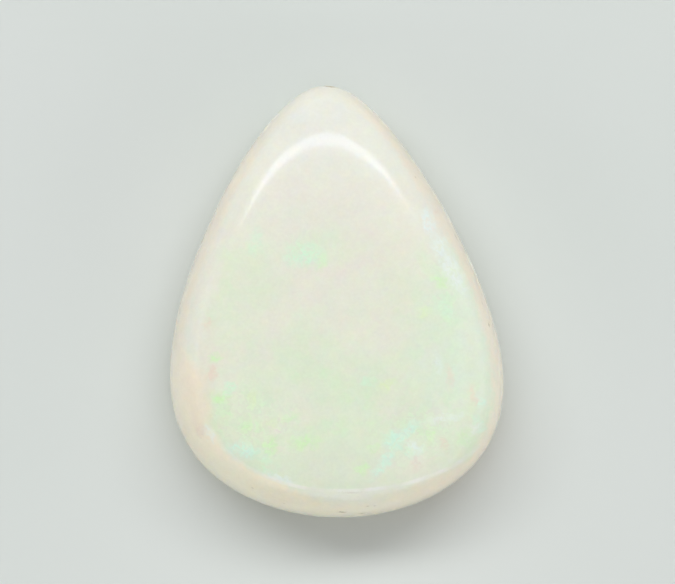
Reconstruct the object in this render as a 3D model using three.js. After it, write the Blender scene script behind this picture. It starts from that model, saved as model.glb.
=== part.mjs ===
// A loose white opal, cut and polished by hand as one low, pear-shaped cabochon.
// Millimetres, +Z up. The stone lies on its flat back with its face up, and its narrow end points
// along +Y. The origin is the middle of the stone's box, on the surface that it lies on.
import * as THREE from 'three';

// Overall size
const LENGTH = 14.0;
const HEIGHT = 3.6;

// The girdle is the widest line round the stone. It is an egg: at a share e of the half length, from
// -1 at the broad end to 1 at the narrow end, its half width is sqrt(1 - e^2) times the polynomial
// GIRDLE_HALF_WIDTH of e, and its middle line stands off the centre by the polynomial GIRDLE_LEAN.
const GIRDLE_HALF_WIDTH = [4.96, -2.2, 0.45, 0.1, -0.35];
const GIRDLE_LEAN = [-0.12, -0.28, -0.05, 0.08];
const GIRDLE_HEIGHT = 1.35;
const GIRDLE_WANDER = 0.1; // how far the hand-cut girdle rises and falls
const GIRDLE_ROUND = 1.0; // the slopes above and below bend away from upright over about this inset

// The bevel is the slope between the girdle and the shoulder, where the face begins.
const BEVEL = 1.19;
const BEVEL_NOSE = 0.86; // added at the narrow end
const BEVEL_NOSE_POWER = 20;
const BEVEL_LEFT = 0.06; // added on the left and taken off on the right
const BEVEL_SKEW = 0.12; // added on the upper right and the lower left

// The stone rises from the girdle to the face as 1 - exp(-s^SHOULDER_POWER), where s reaches
// SHOULDER_SHARE at the inner edge of the bevel. A higher power is a crisper shoulder.
const SHOULDER_SHARE = 2.2;
const SHOULDER_POWER = 1.5;

// The face is a low dome.
const DOME_CENTRE_Y = -1.2;
const DOME_SAG = 0.33; // how far the dome has dropped at DOME_REACH from its middle
const DOME_REACH = new THREE.Vector2(4.6, 6.2);

// The underside slopes in from the girdle to the flat back, and its edge there is rounded.
const BACK_INSET = 1.2;
const BACK_EDGE_ROUND = 0.4;

// Facets: segments round the stone, and rows down its section
const SEGMENTS = 96;
const SHOULDER_MARGIN = 0.6; // the fine rows reach this far in from the shoulder
const FACE_ROWS = 8;
const BEVEL_ROWS = 17;
const UNDER_ROWS = 8;
const ROWS = FACE_ROWS + BEVEL_ROWS + UNDER_ROWS + 1;

const polynomial = (terms, e) => terms.reduceRight((sum, term) => sum * e + term, 0);

// The girdle's point at angle t, clockwise from the narrow end as seen from above
function girdlePoint(t) {
  const e = Math.cos(t);
  const x = polynomial(GIRDLE_LEAN, e) + Math.sin(t) * polynomial(GIRDLE_HALF_WIDTH, e);
  return new THREE.Vector2(x, (LENGTH / 2) * e);
}

// The unit vector that points inwards, square to the girdle
function inwardAt(t) {
  const step = 1e-4;
  const along = girdlePoint(t + step).sub(girdlePoint(t - step)).normalize();
  return new THREE.Vector2(along.y, -along.x);
}

const girdleHeight = (t) => GIRDLE_HEIGHT + GIRDLE_WANDER * Math.sin(t + 0.7);

function bevelWidth(t) {
  const nose = ((1 + Math.cos(t)) / 2) ** BEVEL_NOSE_POWER;
  return BEVEL + BEVEL_NOSE * nose - BEVEL_LEFT * Math.sin(t) + BEVEL_SKEW * Math.sin(2 * t);
}

function faceHeight(p) {
  const x = p.x / DOME_REACH.x;
  const y = (p.y - DOME_CENTRE_Y) / DOME_REACH.y;
  return HEIGHT - DOME_SAG * (x * x + y * y);
}

// The lower of two heights, with the corner between them rounded over the height given
function softMin(a, b, round) {
  const near = Math.max(round - Math.abs(a - b), 0) / round;
  return Math.min(a, b) - (near ** 3 * round) / 6;
}

// How far a slope that starts upright at the girdle has climbed at an inset, and the way back
const climb = (inset) => Math.sqrt(inset * (inset + 2 * GIRDLE_ROUND));
const insetAfter = (climbed) => Math.hypot(climbed, GIRDLE_ROUND) - GIRDLE_ROUND;

// One direction round the stone: its point on the girdle, and the way from there to the middle
class Section {
  constructor(t) {
    this.edge = girdlePoint(t);
    this.way = new THREE.Vector2(0, DOME_CENTRE_Y).sub(this.edge);
    this.reach = this.way.dot(inwardAt(t));
    this.bevel = bevelWidth(t);
    this.low = girdleHeight(t);
    this.undercut = this.low / climb(BACK_INSET);
    this.flat = insetAfter((this.low + BACK_EDGE_ROUND) / this.undercut); // where the back is flat
  }

  planAt(inset) {
    return this.edge.clone().addScaledVector(this.way, inset / this.reach);
  }

  upper(inset) {
    const p = this.planAt(inset);
    const share = (SHOULDER_SHARE * climb(inset)) / climb(this.bevel);
    const risen = 1 - Math.exp(-(share ** SHOULDER_POWER));
    return new THREE.Vector3(p.x, p.y, THREE.MathUtils.lerp(this.low, faceHeight(p), risen));
  }

  under(inset) {
    const p = this.planAt(inset);
    const slope = this.low - this.undercut * climb(inset);
    return new THREE.Vector3(p.x, p.y, -softMin(-slope, 0, BACK_EDGE_ROUND));
  }

  // The surface at a row, from 0 at the middle of the face to ROWS at the middle of the back
  at(row) {
    const fine = this.bevel + SHOULDER_MARGIN;
    if (row <= FACE_ROWS) {
      return this.upper(THREE.MathUtils.lerp(this.reach, fine, row / FACE_ROWS));
    }
    if (row <= FACE_ROWS + BEVEL_ROWS) {
      const share = (FACE_ROWS + BEVEL_ROWS - row) / BEVEL_ROWS;
      return this.upper(fine * share * share);
    }
    const share = (row - FACE_ROWS - BEVEL_ROWS) / UNDER_ROWS;
    if (share <= 1) {
      return this.under(this.flat * share * share);
    }
    return new THREE.Vector3(0, DOME_CENTRE_Y, 0);
  }
}

// A sphere's grid of vertices, with each meridian bent into the stone's section
function stoneGeometry() {
  const geometry = new THREE.SphereGeometry(1, SEGMENTS, ROWS);
  const position = geometry.attributes.position;
  for (let column = 0; column <= SEGMENTS; column++) {
    const section = new Section((-2 * Math.PI * (column % SEGMENTS)) / SEGMENTS);
    for (let row = 0; row <= ROWS; row++) {
      const p = section.at(row);
      position.setXYZ(row * (SEGMENTS + 1) + column, p.x, p.y, p.z);
    }
  }
  geometry.computeVertexNormals();
  geometry.computeBoundingBox();
  const middle = geometry.boundingBox.getCenter(new THREE.Vector3());
  return geometry.translate(-middle.x, -middle.y, 0);
}

const opal = new THREE.Mesh(
  stoneGeometry(),
  new THREE.MeshStandardMaterial({ color: '#e4e4d0', roughness: 0.12, metalness: 0 }),
);
opal.name = 'opal';

const part = new THREE.Group();
part.add(opal);

export default part;
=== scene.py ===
# A loose white opal, cut by hand as a low pear-shaped cabochon, lying face up on a pale floor.
# Lengths are in millimetres and become metres where an object is made. +Z is up, and the narrow
# end points along +Y. A turn round the stone is measured clockwise from the narrow end.
import math

import bmesh
import bpy
import numpy as np
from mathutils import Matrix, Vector, noise


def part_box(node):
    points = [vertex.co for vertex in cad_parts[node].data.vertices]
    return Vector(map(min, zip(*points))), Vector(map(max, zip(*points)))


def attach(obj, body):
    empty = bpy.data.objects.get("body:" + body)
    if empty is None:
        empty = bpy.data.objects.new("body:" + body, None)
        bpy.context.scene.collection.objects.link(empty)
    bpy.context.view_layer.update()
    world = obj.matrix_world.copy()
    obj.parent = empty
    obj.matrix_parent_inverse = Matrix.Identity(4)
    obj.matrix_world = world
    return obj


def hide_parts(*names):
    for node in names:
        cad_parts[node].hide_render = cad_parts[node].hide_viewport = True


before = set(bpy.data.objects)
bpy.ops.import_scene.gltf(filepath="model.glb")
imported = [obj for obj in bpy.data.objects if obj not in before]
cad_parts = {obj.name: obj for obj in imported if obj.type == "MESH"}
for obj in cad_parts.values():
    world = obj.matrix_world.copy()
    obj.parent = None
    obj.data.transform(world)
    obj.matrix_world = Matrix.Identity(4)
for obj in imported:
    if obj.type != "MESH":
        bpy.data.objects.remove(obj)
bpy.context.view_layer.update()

MM = 0.001  # one millimetre in Blender's metres

# The stone's outer size comes from the frame, and its form from the same values as the solid.
low_corner, high_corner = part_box("opal")
LENGTH = (high_corner.y - low_corner.y) / MM
HEIGHT = (high_corner.z - low_corner.z) / MM

# The girdle is the widest line round the stone. At a share e of the half length, from -1 at the
# broad end to 1 at the narrow end, its half width is sqrt(1 - e^2) times one polynomial of e, and
# its middle line stands off the centre by another.
GIRDLE_HALF_WIDTH = (4.96, -2.2, 0.45, 0.1, -0.35)
GIRDLE_LEAN = (-0.12, -0.28, -0.05, 0.08)
GIRDLE_HEIGHT = 1.35
GIRDLE_WANDER = 0.1  # how far the hand-cut girdle rises and falls
GIRDLE_WANDER_SHIFT = 0.7  # how far round, in radians, the rise and fall is shifted
GIRDLE_ROUND = 1.0  # the slopes above and below bend away from upright over about this inset

# The bevel is the slope between the girdle and the shoulder, where the face begins.
BEVEL = 1.19
BEVEL_NOSE = 0.86  # added at the narrow end
BEVEL_NOSE_POWER = 20
BEVEL_LEFT = 0.06  # added on the left and taken off on the right
BEVEL_SKEW = 0.12  # added on the upper right and the lower left

# The stone rises from the girdle to the face as 1 - exp(-s^SHOULDER_POWER), where s reaches
# SHOULDER_SHARE at the inner edge of the bevel.
SHOULDER_SHARE = 2.2
SHOULDER_POWER = 1.5

# The face is a low dome, and the underside slopes in from the girdle to the flat back.
DOME_CENTRE = np.array([0.0, -1.2])
DOME_SAG = 0.33
DOME_REACH = np.array([4.6, 6.2])
BACK_INSET = 1.2
BACK_EDGE_ROUND = 0.4

# The mesh: columns round the stone, and rows down its section in four bands
COLUMNS = 360
FACE_ROWS = 54
BEVEL_ROWS = 72
UNDER_ROWS = 44
BACK_ROWS = 10
SHOULDER_MARGIN = 0.6  # the bevel's rows reach this far in from the shoulder
FIRST_TURN = math.radians(300)  # where the grid closes on itself, away from every dent

# The polish follows the hand: low swells on the surface
SWELL_HEIGHT = 0.012
SWELL_LENGTH = 2.2
SWELL_LOWEST = 0.1  # below this height the stone has none

# A small flat left by the grinding wheel, low on the bevel of the broad end
FLAT_TURN = math.radians(175.5)
FLAT_ROW = 1.37
FLAT_DEPTH = 0.012
FLAT_EDGE_ROUND = 0.004

# Pits and nicks in the rim: middle (x, y), half length, half width, depth, and the way that the
# longer side runs, in degrees from +X
DENTS = [
    (-0.20, 6.97, 0.14, 0.05, 0.035, 0),
    (0.12, -6.80, 0.10, 0.045, 0.030, -25),
    (0.80, -6.86, 0.12, 0.035, 0.030, 10),
    (1.00, -6.60, 0.03, 0.030, 0.010, 0),
    (1.18, -6.60, 0.03, 0.030, 0.010, 0),
    (-1.70, -6.52, 0.04, 0.035, 0.006, 0),
    (-2.75, -6.00, 0.04, 0.035, 0.006, 0),
    (4.92, -0.70, 0.05, 0.040, 0.018, 90),
    (5.06, -0.70, 0.06, 0.045, 0.030, 90),
    (4.72, -0.10, 0.04, 0.035, 0.008, 90),
    (3.87, 2.10, 0.10, 0.050, 0.010, -65),
    (2.58, 4.00, 0.04, 0.035, 0.008, 0),
    (0.48, -6.13, 0.28, 0.022, 0.004, 0),
]
DENT_WANDER = 1.4  # how uneven the outline of a dent is
DENT_UNEVEN_TO = 6  # and how far out, as the square of a distance in half lengths and half widths
DENT_CUTS = 3  # cuts in each edge of the grid round a dent
DENT_FINE_SHARE = 2.2  # the finer grid reaches out this many half lengths of the dent
DENT_FINE_MARGIN = 0.1  # and this much more
DENT_DARK_DEPTH = 0.02  # a dent at least this deep is coloured fully dark, a shallower one less


def polynomial(terms, e):
    return sum(term * e**power for power, term in enumerate(terms))


def girdle_point(turn):
    """The widest line of the stone."""
    e = np.cos(turn)
    x = polynomial(GIRDLE_LEAN, e) + np.sin(turn) * polynomial(GIRDLE_HALF_WIDTH, e)
    return np.stack([x, LENGTH / 2 * e], axis=-1)


def inward(turn):
    """The unit vector that points inwards, square to the girdle."""
    step = 1e-4
    along = girdle_point(turn + step) - girdle_point(turn - step)
    along /= np.linalg.norm(along, axis=-1, keepdims=True)
    return np.stack([along[..., 1], -along[..., 0]], axis=-1)


def bevel_width(turn):
    nose = ((1 + np.cos(turn)) / 2) ** BEVEL_NOSE_POWER
    return BEVEL + BEVEL_NOSE * nose - BEVEL_LEFT * np.sin(turn) + BEVEL_SKEW * np.sin(2 * turn)


def face_height(plan):
    share = (plan - DOME_CENTRE) / DOME_REACH
    return HEIGHT - DOME_SAG * (share**2).sum(axis=-1)


def soft_min(a, b, rounding):
    """The lower of two heights, with the corner between them rounded."""
    near = np.maximum(rounding - np.abs(a - b), 0) / rounding
    return np.minimum(a, b) - near**3 * rounding / 6


def climb(inset):
    """How far a slope that starts upright at the girdle has climbed at an inset."""
    return np.sqrt(inset * (inset + 2 * GIRDLE_ROUND))


def inset_after(climbed):
    return np.hypot(climbed, GIRDLE_ROUND) - GIRDLE_ROUND


def stone_surface(turn, row):
    """Points on the stone, and how far in from the girdle they are, below it as minus values.
    Row 0 is the middle of the face, 1 the inner edge of the shoulder, 2 the girdle, 3 the edge
    of the flat back and 4 its middle."""
    edge = girdle_point(turn)
    way = DOME_CENTRE - edge
    reach = (way * inward(turn)).sum(axis=-1)
    bevel = bevel_width(turn)
    low = GIRDLE_HEIGHT + GIRDLE_WANDER * np.sin(turn + GIRDLE_WANDER_SHIFT)
    undercut = low / climb(BACK_INSET)
    flat = inset_after((low + BACK_EDGE_ROUND) / undercut)
    fine = bevel + SHOULDER_MARGIN

    inset = np.select(
        [row < 1, row < 2, row < 3],
        [
            reach + (fine - reach) * row,
            fine * np.clip(2 - row, 0, 1) ** 2,
            flat * np.clip(row - 2, 0, 1) ** 2,
        ],
        flat + (reach - flat) * (row - 3),
    )
    plan = edge + way * (inset / reach)[..., None]

    share = SHOULDER_SHARE * climb(inset) / climb(bevel)
    risen = 1 - np.exp(-(share**SHOULDER_POWER))
    above = low + (face_height(plan) - low) * risen
    below = -soft_min(undercut * climb(inset) - low, 0, BACK_EDGE_ROUND)
    z = np.where(row < 2, above, below)
    points = np.concatenate([plan, z[..., None]], axis=-1)
    return points, np.where(row < 2, inset, -inset)


def stone_shift():
    """The way from the middle of the stone's box in the frame to the middle of the girdle's."""
    line = girdle_point(np.linspace(0, 2 * math.pi, COLUMNS + 1))
    middle = (low_corner + high_corner) / 2 / MM
    return (line.min(axis=0) + line.max(axis=0)) / 2 - np.array([middle.x, middle.y])


def placed_surface(turn, row):
    points, inset = stone_surface(turn, row)
    points[..., :2] -= stone_shift()
    return points, inset


def ground_flat(points):
    """Cuts the small flat into the bevel."""
    step = 1e-3
    turns = FLAT_TURN + np.array([0, step, 0])
    rows = FLAT_ROW + np.array([0, 0, step])
    middle, beside, below = placed_surface(turns, rows)[0]
    out = np.cross(beside - middle, below - middle)
    out /= np.linalg.norm(out)
    out *= np.sign(out[2])
    above = (points - middle) @ out + FLAT_DEPTH
    kept = soft_min(above, 0, FLAT_EDGE_ROUND)
    return points + (kept - above)[:, None] * out


def dent_centres(points, inset):
    """The grid's point nearest to each dent, on the upper side of the stone."""
    upper = points[inset > 0]
    gaps = [np.linalg.norm(upper[:, :2] - dent[:2], axis=1) for dent in DENTS]
    return [upper[gap.argmin()] for gap in gaps]


def dent_depth(points, centres):
    """How deep each point lies in the pits and nicks."""
    depth = np.zeros(len(points))
    for dent, centre in zip(DENTS, centres):
        half_length, half_width, deepest, heading = dent[2:]
        run = np.array([math.cos(math.radians(heading)), math.sin(math.radians(heading)), 0])
        away = points - centre
        along = away @ run
        across = np.linalg.norm(away - along[:, None] * run, axis=1)
        far = (along / half_length) ** 2 + (across / half_width) ** 2
        for index in np.where(far < DENT_UNEVEN_TO)[0]:
            far[index] *= 1 + DENT_WANDER * noise.noise(Vector(points[index]) / half_width)
        depth += deepest * np.exp(-far)
    return depth


def grid_rows():
    """The rows of the grid between the middle of the face and the middle of the back."""
    face = np.linspace(0, 1, FACE_ROWS, endpoint=False)[1:]
    bevel = np.linspace(1, 2, BEVEL_ROWS, endpoint=False)
    under = np.linspace(2, 3, UNDER_ROWS, endpoint=False)
    back = np.linspace(3, 4, BACK_ROWS, endpoint=False)
    return np.concatenate([face, bevel, under, back])


def flat_grid():
    """A mesh whose x and y are a turn and a row, closed round the stone and at both middles."""
    rows = grid_rows()
    turns = FIRST_TURN + np.arange(COLUMNS) * 2 * math.pi / COLUMNS
    verts = [(turn, row, 0) for row in rows for turn in turns]
    face_middle, back_middle = len(verts), len(verts) + 1
    verts += [(FIRST_TURN, 0, 0), (FIRST_TURN, 4, 0)]

    def index(row, column):
        return row * COLUMNS + column % COLUMNS

    last = len(rows) - 1
    faces = []
    for column in range(COLUMNS):
        after = column + 1
        faces.append((face_middle, index(0, column), index(0, after)))
        faces.append((back_middle, index(last, after), index(last, column)))
        for row in range(last):
            below = row + 1
            faces.append((
                index(row, column), index(below, column), index(below, after), index(row, after)
            ))
    mesh = bpy.data.meshes.new("opal_stone")
    mesh.from_pydata(verts, [], faces)
    return mesh


def grid_surface(bm):
    """The stone's surface at every vertex of the flat grid."""
    grid = np.array([vert.co for vert in bm.verts])
    return placed_surface(grid[:, 0], grid[:, 1])


def refine_at_dents(bm, points, centres):
    """Makes the flat grid finer where the dents will be."""
    near = np.zeros(len(points), bool)
    for dent, centre in zip(DENTS, centres):
        reach = DENT_FINE_SHARE * dent[2] + DENT_FINE_MARGIN
        near |= np.linalg.norm(points - centre, axis=1) < reach
    bm.verts.ensure_lookup_table()
    edges = {edge: None for index in np.where(near)[0] for edge in bm.verts[index].link_edges}
    bmesh.ops.subdivide_edges(bm, edges=list(edges), cuts=DENT_CUTS, use_grid_fill=True)


def bend_into_stone(bm, centres):
    """Bends the flat grid into the stone, with its ground flat, its swells and its dents."""
    points, inset = grid_surface(bm)
    points = ground_flat(points)
    depth = dent_depth(points, centres)
    for vert, point in zip(bm.verts, points):
        vert.co = point
    bmesh.ops.recalc_face_normals(bm, faces=bm.faces)
    bm.normal_update()
    inset_layer = bm.verts.layers.float.new("inset")
    dent_layer = bm.verts.layers.float.new("dent")
    for vert, rim, hollow in zip(bm.verts, inset, depth):
        swell = 0
        if vert.co.z > SWELL_LOWEST:
            swell = SWELL_HEIGHT * noise.noise(vert.co / SWELL_LENGTH)
        vert[inset_layer] = rim
        vert[dent_layer] = min(hollow / DENT_DARK_DEPTH, 1)
        vert.co += vert.normal * (swell - hollow)


def stone_mesh():
    mesh = flat_grid()
    bm = bmesh.new()
    bm.from_mesh(mesh)
    points, inset = grid_surface(bm)
    centres = dent_centres(points, inset)
    refine_at_dents(bm, points, centres)
    bend_into_stone(bm, centres)
    bmesh.ops.scale(bm, vec=(MM, MM, MM), verts=bm.verts)
    bm.to_mesh(mesh)
    bm.free()
    mesh.shade_smooth()
    return mesh


def colour(text):
    """A colour as Blender's linear values, from its usual six digits."""
    parts = [int(text[i:i + 2], 16) / 255 for i in (1, 3, 5)]
    return [p / 12.92 if p <= 0.04045 else ((p + 0.055) / 1.055) ** 2.4 for p in parts] + [1]


class Graph:
    """Short ways to add shader nodes and to join them."""

    def __init__(self, name):
        self.material = bpy.data.materials.new(name)
        self.material.use_nodes = True
        self.tree = self.material.node_tree
        self.shader = self.tree.nodes["Principled BSDF"]

    def feed(self, socket, value):
        if isinstance(value, bpy.types.NodeSocket):
            self.tree.links.new(value, socket)
        elif isinstance(value, str):
            socket.default_value = colour(value)
        else:
            socket.default_value = value

    def node(self, kind, inputs, **settings):
        made = self.tree.nodes.new("ShaderNode" + kind)
        for name, value in settings.items():
            setattr(made, name, value)
        for socket, value in inputs.items():
            self.feed(made.inputs[socket], value)
        return made

    def object_place(self):
        return self.node("TexCoord", {}).outputs["Object"]

    def attribute(self, name):
        return self.node("Attribute", {}, attribute_name=name).outputs["Fac"]

    def math(self, operation, a, b=0.0, c=0.0):
        return self.node("Math", {0: a, 1: b, 2: c}, operation=operation).outputs[0]

    def product(self, first, *others):
        for other in others:
            first = self.math("MULTIPLY", first, other)
        return first

    def plus(self, total, value, share):
        """The total and a share of the value."""
        return self.math("MULTIPLY_ADD", value, share, total)

    def centred(self, value):
        """A value that runs from 0 to 1, moved to run from -0.5 to 0.5."""
        return self.math("SUBTRACT", value, 0.5)

    def vector(self, operation, a, b, output="Vector"):
        return self.node("VectorMath", {0: a, 1: b}, operation=operation).outputs[output]

    def scaled(self, vector, factor):
        return self.node("VectorMath", {0: vector, "Scale": factor}, operation="SCALE").outputs[0]

    def axis(self, vector, name):
        return self.node("SeparateXYZ", {0: vector}).outputs[name]

    def step(self, value, first, last, start=0.0, end=1.0):
        """Runs smoothly from start to end as the value goes from first to last."""
        inputs = {
            "Value": value,
            "From Min": first,
            "From Max": last,
            "To Min": start,
            "To Max": end,
        }
        return self.node("MapRange", inputs, interpolation_type="SMOOTHSTEP").outputs[0]

    def between(self, factor, a, b):
        """A number that goes from a to b as the factor goes from 0 to 1."""
        return self.node("Mix", {"Factor": factor, 2: a, 3: b}).outputs[0]

    def mix(self, factor, a, b):
        """A colour that goes from a to b as the factor goes from 0 to 1."""
        return self.node("Mix", {"Factor": factor, 6: a, 7: b}, data_type="RGBA").outputs[2]

    def noise(self, place, scale, detail, output="Fac"):
        inputs = {"Vector": place, "Scale": scale, "Detail": detail}
        return self.node("TexNoise", inputs).outputs[output]

    def stirred(self, place, scale, detail, amount):
        """The place moved about by a noise, which gives what is laid out on it a natural edge."""
        push = self.vector("SUBTRACT", self.noise(place, scale, detail, "Color"), (0.5, 0.5, 0.5))
        return self.vector("ADD", place, self.scaled(push, amount))

    def cells(self, place, scale):
        """A random value for each small domain of the stone."""
        made = self.node("TexVoronoi", {"Vector": place, "Scale": scale})
        return self.node("SeparateColor", {0: made.outputs["Color"]}).outputs[0]

    def ramp(self, value, stops):
        made = self.node("ValToRGB", {"Fac": value})
        elements = made.color_ramp.elements
        while len(elements) < len(stops):
            elements.new(0.5)
        for element, (position, text) in zip(elements, stops):
            element.position = position
            element.color = colour(text)
        return made.outputs[0]

    def spot(self, place, x, y, half_length, half_width, heading=0.0):
        """1 in the middle of an oval on the stone seen from above, and 0 outside it."""
        inputs = {
            "Vector": place,
            "Location": (x, y, 0),
            "Rotation": (0, 0, math.radians(heading)),
            "Scale": (half_length, half_width, 1),
        }
        local = self.node("Mapping", inputs, vector_type="TEXTURE").outputs[0]
        far = self.node("VectorMath", {0: local}, operation="LENGTH").outputs["Value"]
        return self.step(far, 1.0, 0.25)

    def spot_sum(self, place, spots, total):
        """The total and every spot at its own share, the last value of each."""
        for *oval, share in spots:
            total = self.plus(total, self.spot(place, *oval), share)
        return total

    def spot_most(self, place, spots, least):
        """The strongest spot at each place. The last value of each is its strength."""
        most = least
        for *oval, strength in spots:
            most = self.math("MAXIMUM", self.product(self.spot(place, *oval), strength), most)
        return most


# The colours of the face, from the warmest domains to the greenest
HUES = [
    (0.00, "#f2e7de"),
    (0.30, "#edeae0"),
    (0.50, "#eaedde"),
    (0.70, "#e4efd9"),
    (0.85, "#dff2d5"),
    (1.00, "#d9f4cb"),
]

# The face grows greener from the narrow end to the broad end, a little aslant: along SLANT, over
# this stretch, and from one place in HUES to the other.
SLANT = (-0.45, 0.8, 0)
GREENER_OVER = (1.2, -1.6)
GREENER_HUES = (0.38, 0.66)

# How much each size of noise moves the hue, and how much it moves the lightness
HUE_DRIFT = 0.28
HUE_PATCHES = 0.38
HUE_DOMAINS = 0.18
HUE_SPARKS = 0.1
LIGHT_LEAST = 0.915
LIGHT_CLOUDS = 0.05
LIGHT_GRAIN = 0.07
LIGHT_SPARKS = 0.05

# Broad drifts of hue: middle (x, y), half length, half width, heading, and how much greener
DRIFTS = [
    (-2.9, 0.4, 2.8, 1.7, 75, 0.24),
    (-0.4, 1.8, 1.9, 1.0, 0, 0.20),
    (1.2, -0.8, 2.2, 1.4, 0, -0.15),
    (2.2, -5.2, 1.7, 1.0, 10, -0.15),
    (-1.4, -3.4, 1.8, 1.2, 0, -0.08),
    (3.6, 0.6, 2.2, 1.0, -68, 0.08),
]

# Towards the narrow end the face fades to cream
CREAM = "#eef0e7"
CREAM_OVER_Y = (1.0, 5.0)
CREAM_MOST = 0.6

# Veils over the face: colour, middle (x, y), half length, half width, heading, strength
VEILS = [
    ("#e3e8d9", 0.1, -5.3, 2.6, 1.0, 0, 0.6),
    ("#eaebe5", -0.5, 5.7, 2.0, 1.5, 0, 0.8),
    ("#e4efe8", 4.0, -0.9, 4.6, 2.0, 85, 0.3),
]

# The play of colour, and where it is strongest: middle (x, y), half length, half width, heading,
# strength
PLAY_LEAST = 0.28
PLAY_AREAS = [
    (-2.6, -3.9, 2.6, 1.7, -25, 1.0),
    (2.6, -4.3, 2.8, 1.8, 25, 0.85),
    (3.6, 0.4, 3.2, 1.3, -70, 0.65),
    (-1.2, 1.8, 1.8, 1.2, 0, 0.5),
]

# The flashes that show best, by colour: middle (x, y), half length, half width, heading, strength.
# The first three white ones are no flashes but a painted highlight along the right shoulder.
# They are broken up by the finest grain, down to FLASH_GRAIN_LEAST of their strength.
FLASH_GRAIN_LEAST = 0.3
LIME = "#d9f7c7"
YELLOW = "#e6f3cf"
MINT = "#dcf8df"
CYAN = "#dcf8e7"
WHITE = "#ecf6f0"
PINK = "#ede1d4"
FLASHES = {
    LIME: [
        (-3.90, -1.80, 0.31, 0.26, 0, 0.68),
        (-3.70, -3.12, 0.43, 0.24, 5, 0.85),
        (-2.85, -4.00, 0.54, 0.22, 80, 0.51),
        (-2.12, -4.62, 0.43, 0.29, 70, 0.77),
        (-1.02, -4.50, 0.74, 0.31, 5, 0.68),
        (-1.50, -3.75, 0.36, 0.24, 20, 0.42),
        (0.85, -5.35, 0.34, 0.29, 30, 0.68),
        (1.20, -4.68, 0.31, 0.26, 0, 0.51),
        (3.02, -4.30, 0.38, 0.22, 80, 0.51),
        (4.15, -4.40, 0.41, 0.41, 0, 0.34),
        (3.35, 0.60, 0.48, 0.29, -60, 0.59),
        (-0.48, 1.25, 0.41, 0.26, 70, 0.42),
    ],
    YELLOW: [
        (1.60, -2.68, 0.41, 0.23, 35, 0.9),
        (2.80, -0.32, 0.37, 0.25, 0, 0.6),
        (-2.70, -3.12, 0.46, 0.21, 75, 0.7),
        (-2.00, -3.90, 0.34, 0.25, 0, 0.5),
    ],
    MINT: [
        (-1.05, 1.50, 0.92, 0.57, 0, 0.9),
        (-2.60, 1.90, 0.69, 0.39, 80, 0.4),
        (-3.45, -2.80, 0.39, 0.28, 70, 0.8),
        (-2.45, -4.95, 0.57, 0.30, -30, 0.6),
        (1.00, -2.54, 0.32, 0.25, 0, 0.7),
        (3.50, -0.20, 0.57, 0.34, -75, 0.5),
        (4.55, -3.90, 0.52, 0.30, -60, 0.6),
        (-2.20, -5.45, 0.52, 0.23, -30, 0.6),
    ],
    CYAN: [
        (-3.02, -4.78, 0.72, 0.36, -15, 1.0),
        (1.85, -4.45, 0.54, 0.45, 60, 0.9),
        (2.30, -4.12, 0.68, 0.27, 30, 0.7),
        (1.55, -5.15, 0.83, 0.27, 55, 0.8),
        (2.45, -4.82, 0.63, 0.27, 5, 0.6),
        (4.66, -3.30, 0.30, 0.22, 80, 0.6),
    ],
    WHITE: [
        (-4.10, -4.22, 0.42, 0.21, -55, 0.7),
        # These three paint a highlight along the right shoulder.
        (2.95, 2.55, 0.70, 0.28, -75, 1.0),
        (3.36, 1.72, 0.70, 0.34, -66, 0.9),
        (3.72, 1.00, 1.30, 0.38, -65, 0.9),
        (3.30, -2.00, 0.50, 0.26, -80, 0.5),
        (3.55, -3.72, 0.85, 0.17, 10, 0.7),
        (4.47, -4.04, 0.36, 0.22, 0, 0.6),
        (2.50, -4.68, 0.42, 0.22, -30, 0.8),
        (-1.80, -5.70, 0.72, 0.20, -22, 0.8),
    ],
    PINK: [
        (-4.00, -2.30, 0.39, 0.28, 90, 0.8),
        (-4.40, -4.15, 0.34, 0.25, -60, 0.8),
        (3.30, 2.95, 0.28, 0.21, -60, 0.7),
        (3.62, -2.40, 0.50, 0.18, -80, 0.5),
        (4.38, -3.00, 0.50, 0.18, -75, 0.5),
        (3.45, -4.55, 0.40, 0.18, -80, 0.5),
        (2.52, -5.15, 0.45, 0.26, 80, 0.5),
        (-4.10, -0.70, 0.28, 0.21, 80, 0.6),
    ],
}

# The rim is the edge of the duller layer below the face. Its inner border is at an inset of
# RIM_WIDTH, and reaches further in at the bays: middle (x, y), half length, half width, heading,
# and how much further.
RIM_WIDTH = 0.36
RIM_BAYS = [
    (-4.7, -3.2, 1.9, 2.0, 80, 0.95),
]

# Round the broad end the rim reaches in to a crest, which comes nearer to the girdle as it goes to
# the right.
BROAD_END_OVER_Y = (-2.8, -4.4)
CREST_INSET = 0.93
CREST_BEND = -0.03  # times the square of the distance to the right of the middle
CREST_BORDER_LEAST = 0.4  # the rim stays at least this wide there

# The keel is the pale middle of the broad end: middle (x, y), half length and half width. There,
# and further to the right, the rim's border lies nearer to the girdle than the crest does.
KEEL = (0.4, -6.5, 2.4, 1.3)
KEEL_NARROWER = 0.48
RIGHT_OVER_X = (0.8, 2.4)
RIGHT_NARROWER = 0.16

# How far the rim's border wanders, and how far it fades to either side, with what is added to the
# fade in each part of the rim
BORDER_WAVES = 0.35
BORDER_FRAYS = 0.25
BORDER_FADE = 0.18
BROAD_END_FADE = -0.06
BAY_FADE = 0.3
KEEL_FADE = 0.1
RIGHT_FADE = 0.16

# The rim's colours. Two of them lie in ovals: middle (x, y), half length, half width, heading.
RIM_PALE = "#f3ebdb"
RIM_PEACH = "#fcf1dc"
RIM_DULL = "#f1e8d5"
RIM_ROSE = "#ffebd7"
RIM_CREAM = "#eeece0"
PEACH_OVER_Y = (-1.5, -5.0)
DULL_OVER_INSET = (0.3, 0.8)
ROSE_OVAL = (3.9, -5.2, 3.0, 1.5, 42)
CREAM_OVAL = (-0.8, 6.6, 3.2, 1.9, 30)
KEEL_WHITE = "#eff1e4"
# The colour that the dents darken to, the more the deeper they are
DENT_DARK = "#a89a84"
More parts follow.
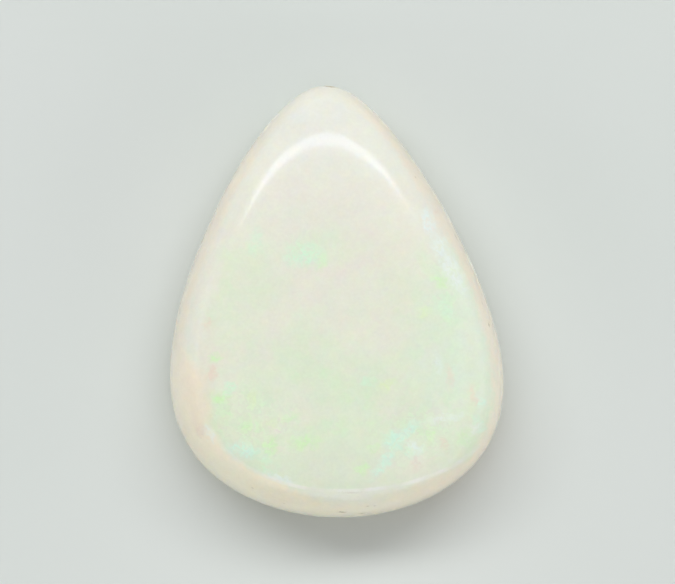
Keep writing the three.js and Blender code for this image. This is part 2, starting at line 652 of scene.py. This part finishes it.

# A pale line along the crest is a painted highlight, next to the reflection of the crest softbox.
# It fades out with the distance from the crest, and at its two ends, and it comes and goes on its
# way.
CREST_PAINTED_HIGHLIGHT = "#f8f8f0"
CREST_HIGHLIGHT_EDGE = (0.09, 0.02)
CREST_HIGHLIGHT_OVER_Y = (-4.2, -4.9)
CREST_HIGHLIGHT_RIGHT = {"first": 5.0, "last": 2.0, "start": 0.4, "end": 0.8}
CREST_HIGHLIGHT_LEFT = {"first": -3.2, "last": -1.0, "start": 0.25}
CREST_HIGHLIGHT_GAPS = {"first": 0.35, "last": 0.6, "start": 0.35}

# The polish: how rough it is at its best and worst, and how much rougher the ground back is
ROUGHNESS = (0.11, 0.16)
BACK_ROUGHER = 0.25
BACK_OVER_Z = (0.12, 0.02)
SCRATCH_GRAIN = (3, 28, 28)  # coarse along x, so that the scratches run that way
SCRATCH_DEPTH = 0.01
SCRATCH_STRENGTH = 0.03
SCATTER_LENGTH = 1.3  # how far light runs inside the stone

FROM_ABOVE = (1, 1, 0)  # takes the height out of a place


class OpalGraph(Graph):
    """The opal's material, built up layer by layer, with places in millimetres. Ovals in the plan
    have frayed edges, and those in the soft plan are gently bent."""

    def __init__(self):
        super().__init__("opal")
        self.place = self.scaled(self.object_place(), 1 / MM)
        self.frayed = self.stirred(self.place, scale=4.5, detail=1, amount=0.4)
        bent = self.stirred(self.place, scale=0.8, detail=2, amount=0.8)
        self.plan = self.vector("MULTIPLY", self.frayed, FROM_ABOVE)
        self.soft_plan = self.vector("MULTIPLY", bent, FROM_ABOVE)
        self.x = self.axis(self.place, "X")
        self.y = self.axis(self.soft_plan, "Y")
        self.inset = self.attribute("inset")
        self.play = self.spot_most(self.soft_plan, PLAY_AREAS, PLAY_LEAST)
        self.spark = self.centred(self.cells(self.frayed, 7.5))

        # The parts of the rim
        right = self.math("MAXIMUM", self.x, 0.0)
        self.broad_end = self.step(self.y, *BROAD_END_OVER_Y)
        self.right_end = self.product(self.step(right, *RIGHT_OVER_X), self.broad_end)
        self.keel = self.spot(self.soft_plan, *KEEL)
        self.bay = self.spot_sum(self.soft_plan, RIM_BAYS, 0.0)
        self.crest = self.plus(CREST_INSET, self.product(right, right), CREST_BEND)
        self.above_crest = self.math("SUBTRACT", self.inset, self.crest)

    def hue(self):
        """Runs from the warm domains to the green ones: broad drifts, domains and pinfire."""
        slant = self.vector("DOT_PRODUCT", self.soft_plan, SLANT, "Value")
        drift = self.centred(self.noise(self.place, scale=0.5, detail=2))
        patches = self.centred(self.noise(self.frayed, scale=1.6, detail=2))
        domains = self.centred(self.cells(self.frayed, 2.8))
        sparkle = self.plus(self.product(domains, HUE_DOMAINS), self.spark, HUE_SPARKS)
        hue = self.step(slant, *GREENER_OVER, *GREENER_HUES)
        hue = self.plus(hue, drift, HUE_DRIFT)
        hue = self.spot_sum(self.soft_plan, DRIFTS, hue)
        hue = self.plus(hue, patches, HUE_PATCHES)
        return self.plus(hue, sparkle, self.play)

    def face(self):
        """The face and its veils, with the pale keel outside the crest."""
        skin = self.ramp(self.hue(), HUES)
        skin = self.mix(self.step(self.y, *CREAM_OVER_Y, end=CREAM_MOST), skin, CREAM)
        for text, *oval, strength in VEILS:
            veil = self.product(self.spot(self.soft_plan, *oval), strength)
            skin = self.mix(veil, skin, text)
        outside_crest = self.step(self.above_crest, 0.05, -0.1)
        return self.mix(self.product(self.keel, outside_crest), skin, KEEL_WHITE)

    def rim_share(self):
        """1 in the rim, 0 on the face, and soft between them."""
        crest = self.math("MAXIMUM", self.crest, CREST_BORDER_LEAST)
        border = self.between(self.broad_end, self.math("ADD", self.bay, RIM_WIDTH), crest)
        border = self.plus(border, self.keel, -KEEL_NARROWER)
        border = self.plus(border, self.right_end, -RIGHT_NARROWER)
        waves = self.centred(self.noise(self.place, scale=1.8, detail=3))
        frays = self.centred(self.noise(self.place, scale=6.0, detail=2))
        away_from_end = self.step(self.broad_end, 1.0, 0.3)
        border = self.plus(border, waves, BORDER_WAVES)
        border = self.plus(border, self.product(frays, away_from_end), BORDER_FRAYS)

        fade = self.plus(BORDER_FADE, self.broad_end, BROAD_END_FADE)
        fade = self.plus(fade, self.bay, BAY_FADE)
        fade = self.plus(fade, self.keel, KEEL_FADE)
        fade = self.plus(fade, self.right_end, RIGHT_FADE)
        inside = self.math("SUBTRACT", self.inset, border)
        return self.step(inside, fade, self.product(fade, -1.0))

    def rim_colour(self):
        rim = self.mix(self.step(self.y, *PEACH_OVER_Y), RIM_PALE, RIM_PEACH)
        dull = self.product(self.bay, self.step(self.inset, *DULL_OVER_INSET))
        rim = self.mix(dull, rim, RIM_DULL)
        rim = self.mix(self.spot(self.soft_plan, *ROSE_OVAL), rim, RIM_ROSE)
        return self.mix(self.spot(self.soft_plan, *CREAM_OVAL), rim, RIM_CREAM)

    def with_flashes(self, skin):
        domains = self.cells(self.frayed, 9.0)
        grain = self.plus(self.noise(self.frayed, scale=6.0, detail=3), domains, 0.5)
        grain = self.step(grain, 0.4, 1.0, start=FLASH_GRAIN_LEAST)
        grain = self.product(grain, self.step(self.inset, 0.05, 0.3))
        for text, spots in FLASHES.items():
            lit = self.spot_most(self.plan, spots, 0.0)
            skin = self.mix(self.product(lit, grain), skin, text)
        return skin

    def with_painted_crest_highlight(self, skin):
        # Paints a pale highlight line along the crest.
        line = self.product(
            self.step(self.math("ABSOLUTE", self.above_crest), *CREST_HIGHLIGHT_EDGE),
            self.step(self.y, *CREST_HIGHLIGHT_OVER_Y),
            self.step(self.x, **CREST_HIGHLIGHT_RIGHT),
            self.step(self.x, **CREST_HIGHLIGHT_LEFT),
            self.step(self.noise(self.place, scale=1.7, detail=2), **CREST_HIGHLIGHT_GAPS),
        )
        return self.mix(line, skin, CREST_PAINTED_HIGHLIGHT)

    def with_clouds(self, skin):
        """The milkiness is uneven, from broad clouds to single domains."""
        clouds = self.noise(self.place, scale=2.4, detail=4)
        clouds = self.math("ADD", clouds, self.noise(self.place, scale=0.9, detail=2))
        light = self.plus(LIGHT_LEAST, clouds, LIGHT_CLOUDS)
        light = self.plus(light, self.noise(self.place, scale=9.0, detail=2), LIGHT_GRAIN)
        light = self.plus(light, self.product(self.spark, self.play), LIGHT_SPARKS)
        return self.scaled(skin, light)

    def colour_stone(self):
        skin = self.mix(self.rim_share(), self.face(), self.rim_colour())
        skin = self.with_clouds(self.with_painted_crest_highlight(self.with_flashes(skin)))
        # The dents are coloured darker the deeper they go.
        skin = self.mix(self.attribute("dent"), skin, DENT_DARK)
        self.feed(self.shader.inputs["Base Color"], skin)

    def polish_stone(self):
        uneven = self.noise(self.place, scale=2.5, detail=2)
        roughness = self.step(uneven, 0.3, 0.7, *ROUGHNESS)
        back = self.step(self.axis(self.place, "Z"), *BACK_OVER_Z)
        self.feed(self.shader.inputs["Roughness"], self.plus(roughness, back, BACK_ROUGHER))

        grain = self.vector("MULTIPLY", self.place, SCRATCH_GRAIN)
        scratches = self.noise(grain, scale=1.0, detail=2)
        inputs = {
            "Height": scratches,
            "Strength": SCRATCH_STRENGTH,
            "Distance": SCRATCH_DEPTH * MM,
        }
        self.feed(self.shader.inputs["Normal"], self.node("Bump", inputs).outputs[0])

    def make_milky(self):
        """Polished opal is glossy, and light runs a little way into it."""
        shader = self.shader.inputs
        shader["IOR"].default_value = 1.45
        shader["Specular IOR Level"].default_value = 0.38
        shader["Specular Tint"].default_value = (0.7, 0.72, 1.0, 1.0)
        shader["Subsurface Weight"].default_value = 1.0
        shader["Subsurface Radius"].default_value = (1.0, 0.85, 0.6)
        shader["Subsurface Scale"].default_value = SCATTER_LENGTH * MM


def opal_material():
    g = OpalGraph()
    g.colour_stone()
    g.polish_stone()
    g.make_milky()
    return g.material


FLOOR_HALF_SIZE = 2000
FLOOR_GAP = 0.005  # how far the floor lies below the stone's flat back
FLOOR_DARKER = "#d8deda"
FLOOR_PALER = "#dadfdc"


def floor_material():
    g = Graph("floor")
    mottle = g.step(g.noise(g.object_place(), scale=60.0, detail=3), 0.3, 0.7)
    g.feed(g.shader.inputs["Base Color"], g.mix(mottle, FLOOR_DARKER, FLOOR_PALER))
    g.shader.inputs["Roughness"].default_value = 0.8
    g.shader.inputs["Specular IOR Level"].default_value = 0.2
    return g.material


def add_object(name, data):
    made = bpy.data.objects.new(name, data)
    bpy.context.scene.collection.objects.link(made)
    return made


def add_stone():
    stone = add_object("opal_stone", stone_mesh())
    stone.data.materials.append(opal_material())
    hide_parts("opal")
    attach(stone, "root")


def add_floor():
    side = FLOOR_HALF_SIZE * MM
    z = -FLOOR_GAP * MM
    mesh = bpy.data.meshes.new("floor")
    corners = [(x * side, y * side, z) for x, y in ((-1, -1), (1, -1), (1, 1), (-1, 1))]
    mesh.from_pydata(corners, [], [(0, 1, 2, 3)])
    mesh.materials.append(floor_material())
    add_object("floor", mesh)


SOFTBOX_DISTANCE = 300
WORLD_STRENGTH = 0.03


def add_softbox(name, azimuth, polar, width, height, radiance):
    """A rectangle of light that faces the stone. Azimuth is clockwise from +Y, and polar is
    measured from straight up."""
    light = bpy.data.lights.new(name, "AREA")
    light.shape = "RECTANGLE"
    light.size = width * MM
    light.size_y = height * MM
    light.energy = radiance * math.pi * width * height * MM**2
    a, p = math.radians(azimuth), math.radians(polar)
    way = Vector((math.sin(a) * math.sin(p), math.cos(a) * math.sin(p), math.cos(p)))
    box = add_object(name, light)
    box.location = way * SOFTBOX_DISTANCE * MM
    box.rotation_euler = way.to_track_quat("Z", "Y").to_euler()
    box.visible_camera = False


def add_lights():
    """The softbox above lights the face, and the main one makes the bright arc on the shoulder,
    with a wide haze round it. The two at the sides and the one in front light the rim, and the
    last one lights the crest of the broad end."""
    world = bpy.data.worlds.new("studio")
    world.use_nodes = True
    background = world.node_tree.nodes["Background"]
    background.inputs["Color"].default_value = (1, 1, 1, 1)
    background.inputs["Strength"].default_value = WORLD_STRENGTH
    bpy.context.scene.world = world
    add_softbox("softbox_above", azimuth=0, polar=0, width=360, height=360, radiance=0.6)
    add_softbox("softbox_main", azimuth=-5, polar=36, width=500, height=68, radiance=6.4)
    add_softbox("softbox_haze", azimuth=6, polar=39, width=900, height=160, radiance=0.65)
    add_softbox("softbox_left", azimuth=-115, polar=74, width=520, height=150, radiance=1.02)
    add_softbox("softbox_right", azimuth=115, polar=74, width=520, height=150, radiance=1.18)
    add_softbox("softbox_front", azimuth=170, polar=77, width=420, height=60, radiance=1.9)
    add_softbox("softbox_crest", azimuth=180, polar=51, width=620, height=14, radiance=4.0)


# The camera looks straight down. In the photograph the stone's middle is a little below the
# middle of the frame, and a little to the left of it.
FRAME_WIDTH_PX = 675
STONE_LENGTH_PX = 431.8
STONE_BELOW_MIDDLE_PX = 9.5
STONE_LEFT_OF_MIDDLE_PX = 1.0
CAMERA_DISTANCE = 180
CLIP_START = 1


def add_camera():
    camera = bpy.data.cameras.new("camera")
    pixel = LENGTH / STONE_LENGTH_PX
    camera.lens = camera.sensor_width * CAMERA_DISTANCE / (FRAME_WIDTH_PX * pixel)
    camera.clip_start = CLIP_START * MM
    holder = add_object("camera", camera)
    holder.location = Vector((
        STONE_LEFT_OF_MIDDLE_PX * pixel,
        STONE_BELOW_MIDDLE_PX * pixel,
        GIRDLE_HEIGHT + CAMERA_DISTANCE,
    )) * MM
    bpy.context.scene.camera = holder


add_stone()
add_floor()
add_lights()
add_camera()
bpy.context.scene.view_settings.view_transform = "Standard"
